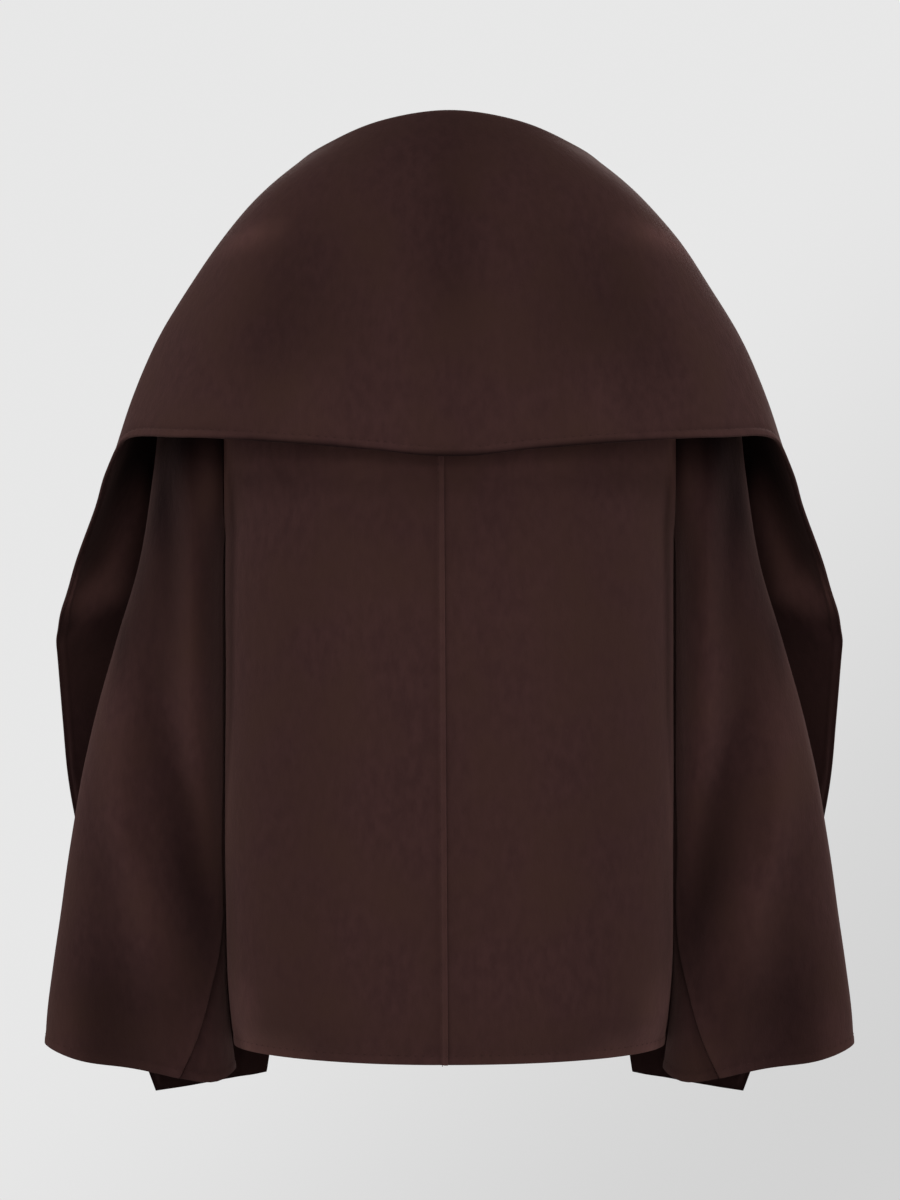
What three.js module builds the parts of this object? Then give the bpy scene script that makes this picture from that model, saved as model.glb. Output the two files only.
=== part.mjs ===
// Cape jacket: a boxy body, two-piece bell sleeves and a wide shawl that covers the shoulders.
// Sizes are in millimetres. +X is the wearer's right, +Y the wearer's front, +Z is up.
// The origin is the middle of the neck at the height of the nape.
import * as THREE from 'three';

// ---- Driving dimensions ----
const CLOTH = 2.5;            // thickness of the double-faced wool
const SEAM_GAP = 0.3;         // space between two pieces at a seam
const FRONT_GAP = 3;          // space between the two front edges
const HEM = -668;             // height of the body's lower edge
const ARMPIT = -262;          // height where the armhole starts
const BODY_SQUARENESS = 2.8;  // 2 is an ellipse, more is squarer
const CUFF_SQUARENESS = 2.3;
const ROLL = 8;               // radius of the soft fold along the top of the shawl

const NECK = { halfWidth: 74, backDepth: 58, frontDepth: 78, nape: -6, side: -2, pit: -64 };
const SHOULDER = { x: 176, z: -50, lift: 3 };

// Grid steps: columns run round a piece, rows run up it or along it.
const NECK_STEPS = 4;
const SHOULDER_STEPS = 6;
const BODY_STEPS = NECK_STEPS + SHOULDER_STEPS;
const ARMHOLE_STEPS = 8;
const SLEEVE_ROWS = 12;
const UNDER_STEPS = 3;
const STATION_STEPS = 3;

const WOOL = { color: 0x382522, roughness: 0.95, metalness: 0 };

// Sections of the body tube from the hem up to the armpit.
const bodySections = [
  { height: HEM, halfWidth: 171.5, back: 117, front: 114 },
  { height: -640, halfWidth: 174.5, back: 120, front: 117 },
  { height: -592, halfWidth: 177.5, back: 121, front: 118 },
  { height: -510, halfWidth: 178.5, back: 121, front: 118 },
  { height: -428, halfWidth: 178.5, back: 121, front: 118 },
  { height: -345, halfWidth: 178.5, back: 121, front: 118 },
  { height: ARMPIT, halfWidth: 178.5, back: 120, front: 118 },
];

// Centre lines of the back and the front from the armpit up to the neckline.
const backCentre = [
  { depth: 120, height: ARMPIT },
  { depth: 121, height: -190 },
  { depth: 117, height: -120 },
  { depth: 100, height: -52 },
  { depth: NECK.backDepth, height: NECK.nape },
];
const frontCentre = [
  { depth: 118, height: ARMPIT },
  { depth: 117, height: -204 },
  { depth: 112, height: -152 },
  { depth: 99, height: -104 },
  { depth: NECK.frontDepth, height: NECK.pit },
];

// Rings of the sleeve from the armhole to the cuff. Each spans from its outer point to its
// inner point, and "under" is the angle from the outer point to the under sleeve's seam.
const sleeveRings = [
  { outX: SHOULDER.x, outZ: SHOULDER.z, inX: 178.5, inZ: ARMPIT, middle: 0, depth: 58, under: 157.5 },
  { outX: 212, outZ: -84, inX: 182, inZ: -285, middle: 1, depth: 60, under: 158 },
  { outX: 229, outZ: -140, inX: 182, inZ: -320, middle: 2, depth: 60, under: 159 },
  { outX: 236, outZ: -205, inX: 182, inZ: -360, middle: 3, depth: 58, under: 160 },
  { outX: 248, outZ: -280, inX: 182, inZ: -405, middle: 4, depth: 57, under: 161 },
  { outX: 267, outZ: -345, inX: 182, inZ: -455, middle: 5, depth: 57, under: 162 },
  { outX: 286, outZ: -415, inX: 182, inZ: -510, middle: 6, depth: 58, under: 160 },
  { outX: 301, outZ: -490, inX: 182, inZ: -565, middle: 7, depth: 60, under: 160 },
  { outX: 313, outZ: -573, inX: 181, inZ: -625, middle: 8, depth: 62, under: 148 },
  { outX: 321, outZ: -628, inX: 179.5, inZ: -668, middle: 8, depth: 63, under: 127 },
  { outX: 323.5, outZ: -664, inX: 177.5, inZ: -698, middle: 8, depth: 63, under: 114 },
];

// Folds of the sleeve, as lines across its face: a ridge is raised, a trough is sunk.
const sleeveFolds = [
  { fromX: 236, fromZ: -190, toX: 206, toZ: -520, raised: 3.5, width: 13 },
  { fromX: 222, fromZ: -200, toX: 196, toZ: -470, raised: -3, width: 10 },
  { fromX: 276, fromZ: -420, toX: 214, toZ: -650, raised: 4.5, width: 20 },
  { fromX: 250, fromZ: -400, toX: 196, toZ: -590, raised: -4, width: 14 },
  { fromX: 300, fromZ: -520, toX: 268, toZ: -670, raised: -3, width: 16 },
];

// Stations of the shawl from the centre back to the end of its front, on the wearer's right.
// "neck" is the share of the neckline the station is sewn to, from 0 at the nape to 1 in front.
// The other stations give their free inner edge instead. "edge" is the outer edge of the shawl.
const shawlStations = [
  { neck: 0, fold: 1, roll: [0, -78, 69.5], upper: [0, -121, 8], lower: [0, -144, -100],
    edge: [0, -152, -200] },
  { neck: 0.2, fold: 1, roll: [52, -68, 61.5], upper: [74, -112, 10], lower: [101, -135, -98],
    edge: [120, -147, -192] },
  { neck: 0.36, fold: 1, roll: [90, -44, 50.5], upper: [134, -84, 3], lower: [178, -104, -95],
    edge: [206, -120, -187] },
  { neck: 0.5, fold: 1, roll: [116, -5, 37], upper: [167, -18, -8], lower: [225, -28, -92],
    edge: [261, -50, -189] },
  { neck: 0.62, fold: 0.9, roll: [122, 36, 12], upper: [173, 36, -36], lower: [240, 34, -132],
    edge: [283, 8, -238] },
  { neck: 0.74, fold: 0.8, roll: [112, 78, -28], upper: [164, 88, -82], lower: [243, 84, -188],
    edge: [307, 48, -293] },
  { inner: [38, 86, -46], fold: 0.5, roll: [80, 116, -84], upper: [146, 122, -150],
    lower: [242, 106, -258], edge: [323, 80, -345], corner: true },
  { inner: [58, 126, -136], fold: 0, roll: [78, 130, -148], upper: [138, 131, -204],
    lower: [236, 116, -318], edge: [318.5, 90, -413] },
  { inner: [84, 134, -300], fold: 0, roll: [100, 134, -306], upper: [146, 129, -336],
    lower: [232, 110, -412], edge: [313, 98, -484] },
  { inner: [120, 131, -500], fold: 0, roll: [133, 129, -504], upper: [164, 122, -520],
    lower: [224, 108, -560], edge: [285, 100, -602] },
  { inner: [152, 116, -704], fold: 0, roll: [162, 115, -706], upper: [183, 112, -709],
    lower: [213, 107, -714], edge: [243, 102, -718] },
];

// ---- Small helpers ----
const vec = (x, y, z) => new THREE.Vector3(x, y, z);
const point = (values) => new THREE.Vector3(...values);
const mix = THREE.MathUtils.lerp;

// A smooth value from one named column of a table, at a fractional row.
function column(table, name, at) {
  const last = table.length - 1;
  const row = Math.min(Math.floor(at), last - 1);
  const value = (index) => table[Math.max(0, Math.min(last, index))][name];
  const share = at - row;
  const before = row > 0 ? (value(row + 1) - value(row - 1)) / 2 : value(1) - value(0);
  const after = row + 2 <= last ? (value(row + 2) - value(row)) / 2 : value(last) - value(last - 1);
  const s2 = share * share;
  const s3 = s2 * share;
  return (2 * s3 - 3 * s2 + 1) * value(row) + (s3 - 2 * s2 + share) * before
    + (3 * s2 - 2 * s3) * value(row + 1) + (s3 - s2) * after;
}

// Sine and cosine of a rounded square, so that a quarter turn runs from 0 to 1 or back.
function squareSin(angle, squareness) {
  const sine = Math.sin(angle);
  return Math.sign(sine) * Math.abs(sine) ** (2 / squareness);
}
function squareCos(angle, squareness) {
  const cosine = Math.abs(Math.cos(angle)) < 1e-9 ? 0 : Math.cos(angle);
  return Math.sign(cosine) * Math.abs(cosine) ** (2 / squareness);
}

// ---- A wall of cloth over a grid ----
// grid[row][column] holds the outer face. Columns turned towards rows point out of the cloth.
function outwardAt(grid, row, col) {
  const rows = grid.length - 1;
  const cols = grid[0].length - 1;
  const along = grid[row][Math.min(col + 1, cols)].clone().sub(grid[row][Math.max(col - 1, 0)]);
  const up = grid[Math.min(row + 1, rows)][col].clone().sub(grid[Math.max(row - 1, 0)][col]);
  return along.cross(up).normalize();
}

// Moves each vertex on the border away from the seam by the amount its side asks for.
function trimmed(grid, trim) {
  const rows = grid.length - 1;
  const cols = grid[0].length - 1;
  return grid.map((line, row) => line.map((start, col) => {
    const moved = start.clone();
    const pull = (neighbour, amount) => {
      moved.add(neighbour.clone().sub(start).setLength(amount));
    };
    if (col === 0) pull(line[1], trim.first);
    if (col === cols) pull(line[cols - 1], trim.last);
    if (row === 0) pull(grid[1][col], trim.bottom);
    if (row === rows) pull(grid[rows - 1][col], trim.top);
    return moved;
  }));
}

// Seam allowances of a piece: "mitre" opens the inside of a seam that turns a corner.
function clothWall(name, grid, seams = {}) {
  const sides = ['first', 'last', 'bottom', 'top'];
  const outerTrim = {};
  const innerTrim = {};
  for (const side of sides) {
    const mitre = seams[side];
    outerTrim[side] = mitre === undefined ? 0 : SEAM_GAP / 2;
    innerTrim[side] = mitre === undefined ? 0 : SEAM_GAP / 2 + mitre;
  }
  const inside = grid.map((line, row) => line.map(
    (start, col) => start.clone().addScaledVector(outwardAt(grid, row, col), -CLOTH)));
  const faces = [trimmed(grid, outerTrim), trimmed(inside, innerTrim)];
  const rows = grid.length;
  const cols = grid[0].length;
  const positions = faces.flat(2).flatMap((at) => [at.x, at.y, at.z]);
  const index = [];
  const id = (face, row, col) => (face * rows + row) * cols + col;
  const quad = (a, b, c, d) => index.push(a, b, c, a, c, d);
  for (let row = 0; row < rows - 1; row += 1) {
    for (let col = 0; col < cols - 1; col += 1) {
      quad(id(0, row, col), id(0, row, col + 1), id(0, row + 1, col + 1), id(0, row + 1, col));
      quad(id(1, row, col), id(1, row + 1, col), id(1, row + 1, col + 1), id(1, row, col + 1));
    }
    quad(id(0, row, 0), id(0, row + 1, 0), id(1, row + 1, 0), id(1, row, 0));
    quad(id(0, row + 1, cols - 1), id(0, row, cols - 1), id(1, row, cols - 1), id(1, row + 1, cols - 1));
  }
  for (let col = 0; col < cols - 1; col += 1) {
    quad(id(0, 0, col + 1), id(0, 0, col), id(1, 0, col), id(1, 0, col + 1));
    quad(id(0, rows - 1, col), id(0, rows - 1, col + 1), id(1, rows - 1, col + 1), id(1, rows - 1, col));
  }
  const geometry = new THREE.BufferGeometry();
  geometry.setAttribute('position', new THREE.Float32BufferAttribute(positions, 3));
  geometry.setIndex(index);
  geometry.computeVertexNormals();
  const mesh = new THREE.Mesh(geometry, new THREE.MeshStandardMaterial(WOOL));
  mesh.name = name;
  return mesh;
}

// The same piece on the wearer's left: x changes sign, and the columns turn round.
function mirrored(grid) {
  return grid.map((line) => line.map((at) => vec(-at.x, at.y, at.z)).reverse());
}

// ---- Body ----
// The neckline from the nape (0) over the shoulder point (0.5) to the pit of the neck (1).
function neckline(share) {
  const angle = Math.abs(1 - 2 * share) * Math.PI / 2;
  const swing = Math.PI / 2 - angle;
  if (share <= 0.5) {
    const height = mix(NECK.nape, NECK.side, Math.sin(swing) ** 2);
    return vec(NECK.halfWidth * Math.sin(swing), -NECK.backDepth * Math.cos(swing), height);
  }
  const middle = FRONT_GAP / 2;
  const drop = (NECK.side - NECK.pit) * Math.sin(angle);
  return vec(mix(middle, NECK.halfWidth, Math.cos(angle)),
    NECK.frontDepth * Math.sin(angle), NECK.side - drop);
}

// The top edge of a panel: half the neckline, then the shoulder seam out to the tip.
function topEdge(step, isBack) {
  if (step <= NECK_STEPS) {
    const share = 0.5 * step / NECK_STEPS;
    return neckline(isBack ? share : 1 - share);
  }
  const share = (step - NECK_STEPS) / SHOULDER_STEPS;
  const lift = SHOULDER.lift * Math.sin(Math.PI * share);
  return vec(mix(NECK.halfWidth, SHOULDER.x, share), 0, mix(NECK.side, SHOULDER.z, share) + lift);
}

// A point of one ring of the sleeve. The angle starts at the outer point; "towardsBack" is
// -1 on the back half and +1 on the front half.
function ringPoint(at, angle, towardsBack) {
  const ring = (name) => column(sleeveRings, name, at);
  const across = squareCos(angle, CUFF_SQUARENESS);
  const x = mix(ring('inX'), ring('outX'), (1 + across) / 2);
  const z = mix(ring('inZ'), ring('outZ'), (1 + across) / 2);
  const y = ring('middle') + towardsBack * ring('depth') * squareSin(angle, CUFF_SQUARENESS);
  return vec(x, y, z);
}

// Vertex of the armhole, from the armpit (0) up to the shoulder tip (ARMHOLE_STEPS).
function armholePoint(step, isBack) {
  const angle = Math.PI * (1 - step / ARMHOLE_STEPS);
  return ringPoint(0, angle, isBack ? -1 : 1);
}

// One row of a panel from its centre point to its side point.
function panelRow(centre, side, isBack, topShare) {
  const points = [];
  for (let step = 0; step <= BODY_STEPS; step += 1) {
    const angle = Math.PI / 2 * step / BODY_STEPS;
    const out = squareSin(angle, BODY_SQUARENESS);
    const deep = squareCos(angle, BODY_SQUARENESS);
    const round = vec(mix(centre.x, side.x, out), mix(side.y, centre.y, deep),
      mix(centre.z, side.z, out * out));
    const first = topEdge(0, isBack);
    const last = topEdge(BODY_STEPS, isBack);
    const shifted = topEdge(step, isBack)
      .add(centre.clone().sub(first).lerp(side.clone().sub(last), step / BODY_STEPS));
    points.push(round.lerp(shifted, topShare));
  }
  return points;
}

// A body panel on the wearer's right: rows from the hem to the shoulder seam.
function bodyPanel(isBack) {
  const direction = isBack ? -1 : 1;
  const middle = isBack ? 0 : FRONT_GAP / 2;
  const depthName = isBack ? 'back' : 'front';
  const centreLine = isBack ? backCentre : frontCentre;
  const rows = [];
  for (const section of bodySections) {
    const centre = vec(middle, direction * section[depthName], section.height);
    const side = vec(section.halfWidth, 0, section.height);
    rows.push(panelRow(centre, side, isBack, 0));
  }
  for (let step = 1; step <= ARMHOLE_STEPS; step += 1) {
    const share = step / ARMHOLE_STEPS;
    const at = share * (centreLine.length - 1);
    const depth = column(centreLine, 'depth', at);
    const height = column(centreLine, 'height', at);
    const centre = vec(middle, direction * depth, height);
    rows.push(panelRow(centre, armholePoint(step, isBack), isBack, share ** 2));
  }
  return isBack ? rows : rows.map((line) => line.slice().reverse());
}

function addBody(group) {
  const flatSeam = 0.6;
  const corner = CLOTH;
  const back = bodyPanel(true);
  const front = bodyPanel(false);
  const backSeams = { first: flatSeam, last: flatSeam, top: corner };
  const frontSeams = { first: flatSeam, last: flatSeam, top: corner };
  group.add(clothWall('back_right', back, backSeams));
  group.add(clothWall('back_left', mirrored(back), backSeams));
  group.add(clothWall('front_right', front, frontSeams));
  group.add(clothWall('front_left', mirrored(front), frontSeams));
}

// ---- Sleeves ----
// How far the folds move a point out of the sleeve. The front of the sleeve repeats them
// a little lower and softer than the back.
function foldHeight(at, isBack) {
  const shiftZ = isBack ? 0 : 40;
  const strength = isBack ? 1 : 0.7;
  let total = 0;
  for (const fold of sleeveFolds) {
    const from = new THREE.Vector2(fold.fromX, fold.fromZ - shiftZ);
    const line = new THREE.Vector2(fold.toX, fold.toZ - shiftZ).sub(from);
    const offset = new THREE.Vector2(at.x, at.z).sub(from);
    const share = offset.dot(line) / line.lengthSq();
    const inside = THREE.MathUtils.smoothstep(share, -0.1, 0.25)
      * (1 - THREE.MathUtils.smoothstep(share, 0.75, 1.1));
    const away = offset.cross(line) / line.length();
    total += strength * inside * fold.raised * Math.exp(-((away / fold.width) ** 2));
  }
  return total;
}

// One point of the sleeve. "turn" is 0 at the outer point, -1 at the inner point by way of
// the back, and +1 at the inner point by way of the front.
function sleevePoint(at, turn) {
  const angle = Math.abs(turn) * Math.PI;
  const towardsBack = turn < 0 ? -1 : 1;
  if (at === 0) {
    const step = (1 - Math.abs(turn)) * ARMHOLE_STEPS;
    const below = Math.floor(step + 1e-9);
    const share = Math.max(0, step - below);
    const start = armholePoint(below, turn < 0);
    return share < 1e-6 ? start : start.lerp(armholePoint(below + 1, turn < 0), share);
  }
  const place = ringPoint(at, angle, towardsBack);
  const fade = Math.min(1, at / 2) * Math.sin(angle);
  place.y += towardsBack * fade * foldHeight(place, turn < 0);
  return place;
}

// Grid of a sleeve piece: turns run from "from" to "to", each worked out for its ring.
function sleeveGrid(steps, turnAt) {
  const rows = [];
  for (let row = 0; row <= SLEEVE_ROWS; row += 1) {
    const at = (sleeveRings.length - 1) * row / SLEEVE_ROWS;
    const under = column(sleeveRings, 'under', at) / 180;
    const line = [];
    for (let step = 0; step <= steps; step += 1) line.push(sleevePoint(at, turnAt(step / steps, under)));
    rows.push(line);
  }
  return rows;
}

function addSleeves(group) {
  const armholeMitre = 1.5;
  const seam = 0.6;
  const upperSteps = 4 * (ARMHOLE_STEPS - 1);
  const upper = sleeveGrid(upperSteps, (share, under) => mix(under, -under, share));
  const lowerSteps = 2 * UNDER_STEPS;
  const lower = sleeveGrid(lowerSteps, (share, under) => {
    const turn = mix(-under, -2 + under, share);
    return turn < -1 ? 2 + turn : turn;
  });
  const seams = { first: seam, last: seam, bottom: armholeMitre };
  group.add(clothWall('sleeve_right', upper, seams));
  group.add(clothWall('sleeve_left', mirrored(upper), seams));
  group.add(clothWall('under_sleeve_right', lower, seams));
  group.add(clothWall('under_sleeve_left', mirrored(lower), seams));
}

// ---- Shawl ----
// The foot of the shawl's stand, just above the neckline.
function standFoot(share) {
  const lift = 1;
  return neckline(share).add(vec(0, 0, lift));
}

// The seven points of a station, from its inner edge over the roll to its outer edge.
function stationPoints(station) {
  const inner = station.inner ? point(station.inner) : standFoot(station.neck);
  const roll = point(station.roll);
  const upper = point(station.upper);
  const outward = vec(upper.x - inner.x, upper.y - inner.y, 0).setLength(ROLL);
  const foldedIn = roll.clone().sub(outward).add(vec(0, 0, -ROLL));
  const foldedOut = roll.clone().add(outward).add(vec(0, 0, -ROLL * 0.7));
  const flatIn = inner.clone().lerp(roll, 0.5);
  const flatOut = roll.clone().lerp(upper, 0.25);
  return [inner, flatIn.lerp(foldedIn, station.fold), roll, flatOut.lerp(foldedOut, station.fold),
    upper, point(station.lower), point(station.edge)];
}

// A smooth line through points that may keep some sharp corners.
function lineThrough(points, corners) {
  const breaks = [0, ...corners, points.length - 1];
  const pieces = [];
  for (let index = 0; index < breaks.length - 1; index += 1) {
    const part = points.slice(breaks[index], breaks[index + 1] + 1);
    pieces.push({ start: breaks[index], end: breaks[index + 1],
      curve: new THREE.CatmullRomCurve3(part, false, 'centripetal') });
  }
  return (at) => {
    const piece = pieces.find((entry) => at <= entry.end + 1e-9);
    const share = (at - piece.start) / (piece.end - piece.start);
    return piece.curve.getPoint(Math.min(1, Math.max(0, share)));
  };
}

// Where the shawl is sampled between its seven points: closest round the roll.
const shawlSamples = [0, 0.5, 1, 1.5, 2, 2.5, 3, 3.5, 4, 4.33, 4.67, 5, 5.33, 5.67, 6];

function shawlGrid() {
  const right = shawlStations.map(stationPoints);
  const left = right.slice(1).reverse()
    .map((points) => points.map((at) => vec(-at.x, at.y, at.z)));
  const stations = [...left, ...right];
  const last = stations.length - 1;
  const cornerOnRight = last / 2 + shawlStations.findIndex((station) => station.corner);
  const corners = [last - cornerOnRight, cornerOnRight];
  const lines = [0, 1, 2, 3, 4, 5, 6].map((index) => lineThrough(
    stations.map((points) => points[index]), index === 6 ? corners : []));
  const sewn = shawlStations.findIndex((station) => station.inner) - 1;
  const rows = [];
  for (let step = 0; step <= last * STATION_STEPS; step += 1) {
    const across = lines.map((line) => line(step / STATION_STEPS));
    const fromBack = step / STATION_STEPS - last / 2;
    if (Math.abs(fromBack) <= sewn) {
      const before = Math.min(Math.floor(Math.abs(fromBack)), sewn - 1);
      const share = mix(shawlStations[before].neck, shawlStations[before + 1].neck,
        Math.abs(fromBack) - before);
      across[0] = standFoot(share);
      if (fromBack < 0) across[0].x *= -1;
    }
    const section = new THREE.CatmullRomCurve3(across, false, 'centripetal');
    rows.push(shawlSamples.map((at) => section.getPoint(at / (across.length - 1))));
  }
  return rows;
}

const cape = new THREE.Group();
addBody(cape);
addSleeves(cape);
cape.add(clothWall('shawl', shawlGrid(), { first: CLOTH }));

export default cape;
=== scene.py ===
# %% [markdown]
# # A wool cape jacket
# The jacket is short and boxy, with bell sleeves, and a very wide shawl lies over its
# shoulders and hangs down in front. It keeps the shape it has when it is worn.
# The frame already holds plain walls of the right size. Each of them is replaced here by a
# finer piece of cloth on the same form, with its folds, turned edges, seams and stitches.

import bpy
import numpy as np
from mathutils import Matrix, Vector, noise


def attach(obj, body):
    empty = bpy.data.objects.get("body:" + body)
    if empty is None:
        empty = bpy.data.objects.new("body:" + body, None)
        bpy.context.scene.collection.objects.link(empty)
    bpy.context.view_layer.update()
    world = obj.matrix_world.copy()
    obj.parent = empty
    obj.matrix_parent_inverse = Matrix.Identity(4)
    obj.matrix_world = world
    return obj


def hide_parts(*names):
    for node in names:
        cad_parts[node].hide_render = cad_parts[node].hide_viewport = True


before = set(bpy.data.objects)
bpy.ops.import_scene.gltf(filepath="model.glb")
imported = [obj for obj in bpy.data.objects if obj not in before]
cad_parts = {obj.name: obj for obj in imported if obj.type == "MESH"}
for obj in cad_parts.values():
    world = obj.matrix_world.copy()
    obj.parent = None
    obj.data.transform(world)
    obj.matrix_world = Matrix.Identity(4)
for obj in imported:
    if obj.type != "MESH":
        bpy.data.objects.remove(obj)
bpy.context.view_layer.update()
print("nodes:", sorted(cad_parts))

# %% [markdown]
# ## Sizes
# Blender works in metres, and a tailor in millimetres. The tables below are written in
# millimetres and turned into metres once, so that they stay easy to read.
# X is the wearer's right, Y the wearer's front and Z is up, from the nape of the neck.
# Two pieces that meet lap each other by a hair, so that no light shows between them.

# %% Named sizes
MM = 0.001
CLOTH = 2.5 * MM
HALF_LAP = 0.25 * MM
BODY_SQUARENESS = 2.8
CUFF_SQUARENESS = 2.3
ROLL = 12 * MM
TURNED_EDGE = 6.5 * MM
SPACING = 8 * MM
NECK_SHARE = 0.4
# Range of the painted light and shade on the cloth, and the painted shade that darkens every inner
# face.
PAINTED_LIGHT_RANGE = (-1.9, 3.4)
INSIDE_PAINTED_SHADE = -0.9
NECK = {"half_width": 74 * MM, "back": 58 * MM, "front": 78 * MM,
        "nape": -6 * MM, "side": -2 * MM, "pit": -64 * MM}
SHOULDER = {"x": 176 * MM, "z": -50 * MM, "lift": 3 * MM}
print("cloth thickness", CLOTH, "m")

# %% [markdown]
# ## Smooth lines from short tables
# A fold of heavy wool has no corners. Each table gives a few sections, and these helpers run
# a smooth curve through them. `smooth` is for evenly spaced rows. `curve_through` copes with
# points that lie at uneven distances, without overshooting between them.

# %% Curves
def hermite(start, end, start_slope, end_slope, share):
    s2, s3 = share ** 2, share ** 3
    return ((2 * s3 - 3 * s2 + 1) * start + (s3 - 2 * s2 + share) * start_slope
            + (3 * s2 - 2 * s3) * end + (s3 - s2) * end_slope)


def rows_of(values, at):
    row = np.clip(np.floor(at).astype(int), 0, len(values) - 2)
    share = (at - row).reshape((-1,) + (1,) * (values.ndim - 1))
    return row, share


def smooth(table, at):
    values = np.asarray(table, float)
    row, share = rows_of(values, np.atleast_1d(np.asarray(at, float)))
    slopes = np.gradient(values, axis=0)
    return hermite(values[row], values[row + 1], slopes[row], slopes[row + 1], share)


def curve_through(points, at):
    points = np.asarray(points, float)
    before = 2 * points[0] - points[1]
    after = 2 * points[-1] - points[-2]
    padded = np.concatenate([[before], points, [after]])
    row, share = rows_of(points, np.atleast_1d(np.asarray(at, float)))
    a, b, c, d = (padded[row + k] for k in range(4))

    def root(step):
        return np.maximum(np.sqrt(np.linalg.norm(step, axis=-1, keepdims=True)), 1e-6)

    da, db, dc = root(b - a), root(c - b), root(d - c)
    start = ((b - a) / da - (c - a) / (da + db) + (c - b) / db) * db
    end = ((c - b) / db - (d - b) / (db + dc) + (d - c) / dc) * db
    return hermite(b, c, start, end, share)


def ramp(value, low, high):
    share = np.clip((value - low) / (high - low), 0, 1)
    return share * share * (3 - 2 * share)


# %% [markdown]
# ## Even spacing
# Edges need closer rows than the middle, so that the turned edge and the seam stay crisp once
# the surface is subdivided. `shares` lists places along a side: a few right at each end and
# the rest evenly apart. `evenly` measures a line and puts points at those places.

# %% Spacing along a side
EDGE_ROWS = [1.2, 3.2, 5.4, 7.0, 8.4, 10.4]
SEAM_ROWS = [1.2, 3.4]


def shares(length, first=SEAM_ROWS, last=SEAM_ROWS, spacing=SPACING):
    count = max(2, round(length / spacing))
    start = [d * MM / length for d in first]
    end = [1 - d * MM / length for d in last]
    room = 0.55 * spacing / length
    middle = [k / count for k in range(1, count)
              if k / count > start[-1] + room and k / count < end[-1] - room]
    return np.array([0.0, *start, *middle, *sorted(end), 1.0])


def lengths_along(line):
    steps = np.linalg.norm(np.diff(line, axis=0), axis=1)
    return np.concatenate([[0.0], np.cumsum(steps)])


def evenly(line, places):
    walked = lengths_along(line)
    return np.stack([np.interp(places * walked[-1], walked, line[:, k]) for k in range(3)], axis=1)


# %% [markdown]
# ## From a grid to cloth
# A piece is a grid of points on its outer face: columns go across it and rows go up it. The
# cross product of the two directions points out of the cloth, so relief can be added along
# it. Solidify then gives the wool its thickness, and one level of subdivision rounds the
# edges. That is lighter than a cloth simulation, and keeps the shape the garment really has.

# %% Relief on a grid
def outward(grid):
    across = np.gradient(grid, axis=1)
    up = np.gradient(grid, axis=0)
    normal = np.cross(across, up)
    return normal / np.maximum(np.linalg.norm(normal, axis=2, keepdims=True), 1e-12)


def side_distances(grid):
    across = np.stack([lengths_along(line) for line in grid])
    up = np.stack([lengths_along(grid[:, k]) for k in range(grid.shape[1])], axis=1)
    return {"first": across, "last": across[:, -1:] - across,
            "bottom": up, "top": up[-1:] - up}


def raised(grid, height):
    return grid + outward(grid) * height[..., None]


def turned_edge(distance, band_height=0.5 * MM, dent_depth=0.35 * MM):
    """The edge is folded in by hand: thicker up to the stitch line, with a dent along it."""
    band = 1 - ramp(distance, TURNED_EDGE - 1.4 * MM, TURNED_EDGE + 0.8 * MM)
    dent = np.exp(-((distance - TURNED_EDGE - 0.8 * MM) / (1.4 * MM)) ** 2)
    return band_height * band - dent_depth * dent


def bump(distance, width):
    return np.exp(-(distance / width) ** 2)


def unevenness(grid, amount, size):
    flat = grid.reshape(-1, 3)
    values = [noise.noise(Vector(p) / size) for p in flat]
    return amount * np.array(values).reshape(grid.shape[:2])


# %% Make the mesh
def mirrored(grid):
    return (grid * np.array([-1.0, 1.0, 1.0]))[:, ::-1]


def cloth_mesh(name, grid, nap_and_painted_light, inside_painted_light=INSIDE_PAINTED_SHADE):
    rows, columns = grid.shape[:2]
    first_corners = [r * columns + c for r in range(rows - 1) for c in range(columns - 1)]
    faces = [(k, k + 1, k + columns + 1, k + columns) for k in first_corners]
    mesh = bpy.data.meshes.new(name)
    mesh.from_pydata(grid.reshape(-1, 3).tolist(), [], faces)
    sides = side_distances(grid)
    layer = mesh.uv_layers.new(name="cut")
    places = np.stack([sides["first"], sides["bottom"]], axis=2).reshape(-1, 2)
    corners = np.array([loop.vertex_index for loop in mesh.loops])
    layer.data.foreach_set("uv", places[corners].ravel())
    # Each piece carries painted light and shade as attributes, one for the outer face and one for
    # the inner face.
    for face, values in (("nap_and_painted_light", nap_and_painted_light), ("inside_painted_light", inside_painted_light + np.zeros(nap_and_painted_light.shape))):
        painted_light_layer = mesh.attributes.new(face, "FLOAT", "POINT")
        painted_light_layer.data.foreach_set("value", np.clip(values, *PAINTED_LIGHT_RANGE).ravel())
    mesh.polygons.foreach_set("use_smooth", [True] * len(faces))
    mesh.materials.append(brown_wool)
    mesh.materials.append(reverse_wool)
    piece = bpy.data.objects.new(name, mesh)
    bpy.context.scene.collection.objects.link(piece)
    return piece


def thicken(piece):
    solid = piece.modifiers.new("thickness", "SOLIDIFY")
    solid.thickness = CLOTH
    solid.offset = -1
    solid.use_even_offset = True
    solid.material_offset = 1
    round_off = piece.modifiers.new("rounding", "SUBSURF")
    round_off.levels = 1
    round_off.render_levels = 1


def place(piece, node):
    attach(piece, "root")
    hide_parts(node)
    print(piece.name, len(piece.data.vertices), "points for", node)


# %% [markdown]
# ## The wool
# Double-faced wool is two thin cloths woven together and brushed, so it has no visible weave:
# a dense, matt nap with a faint bloom where light grazes it. Fine noise stands for the nap,
# stretched along the drop of the cloth because it is brushed downwards, and a broad, weak
# noise stands for the cloudy shade that brushed wool has. Sheen gives the bloom. Hair could
# make the nap too, but no single fibre shows from a step away, so a texture is enough.

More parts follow.
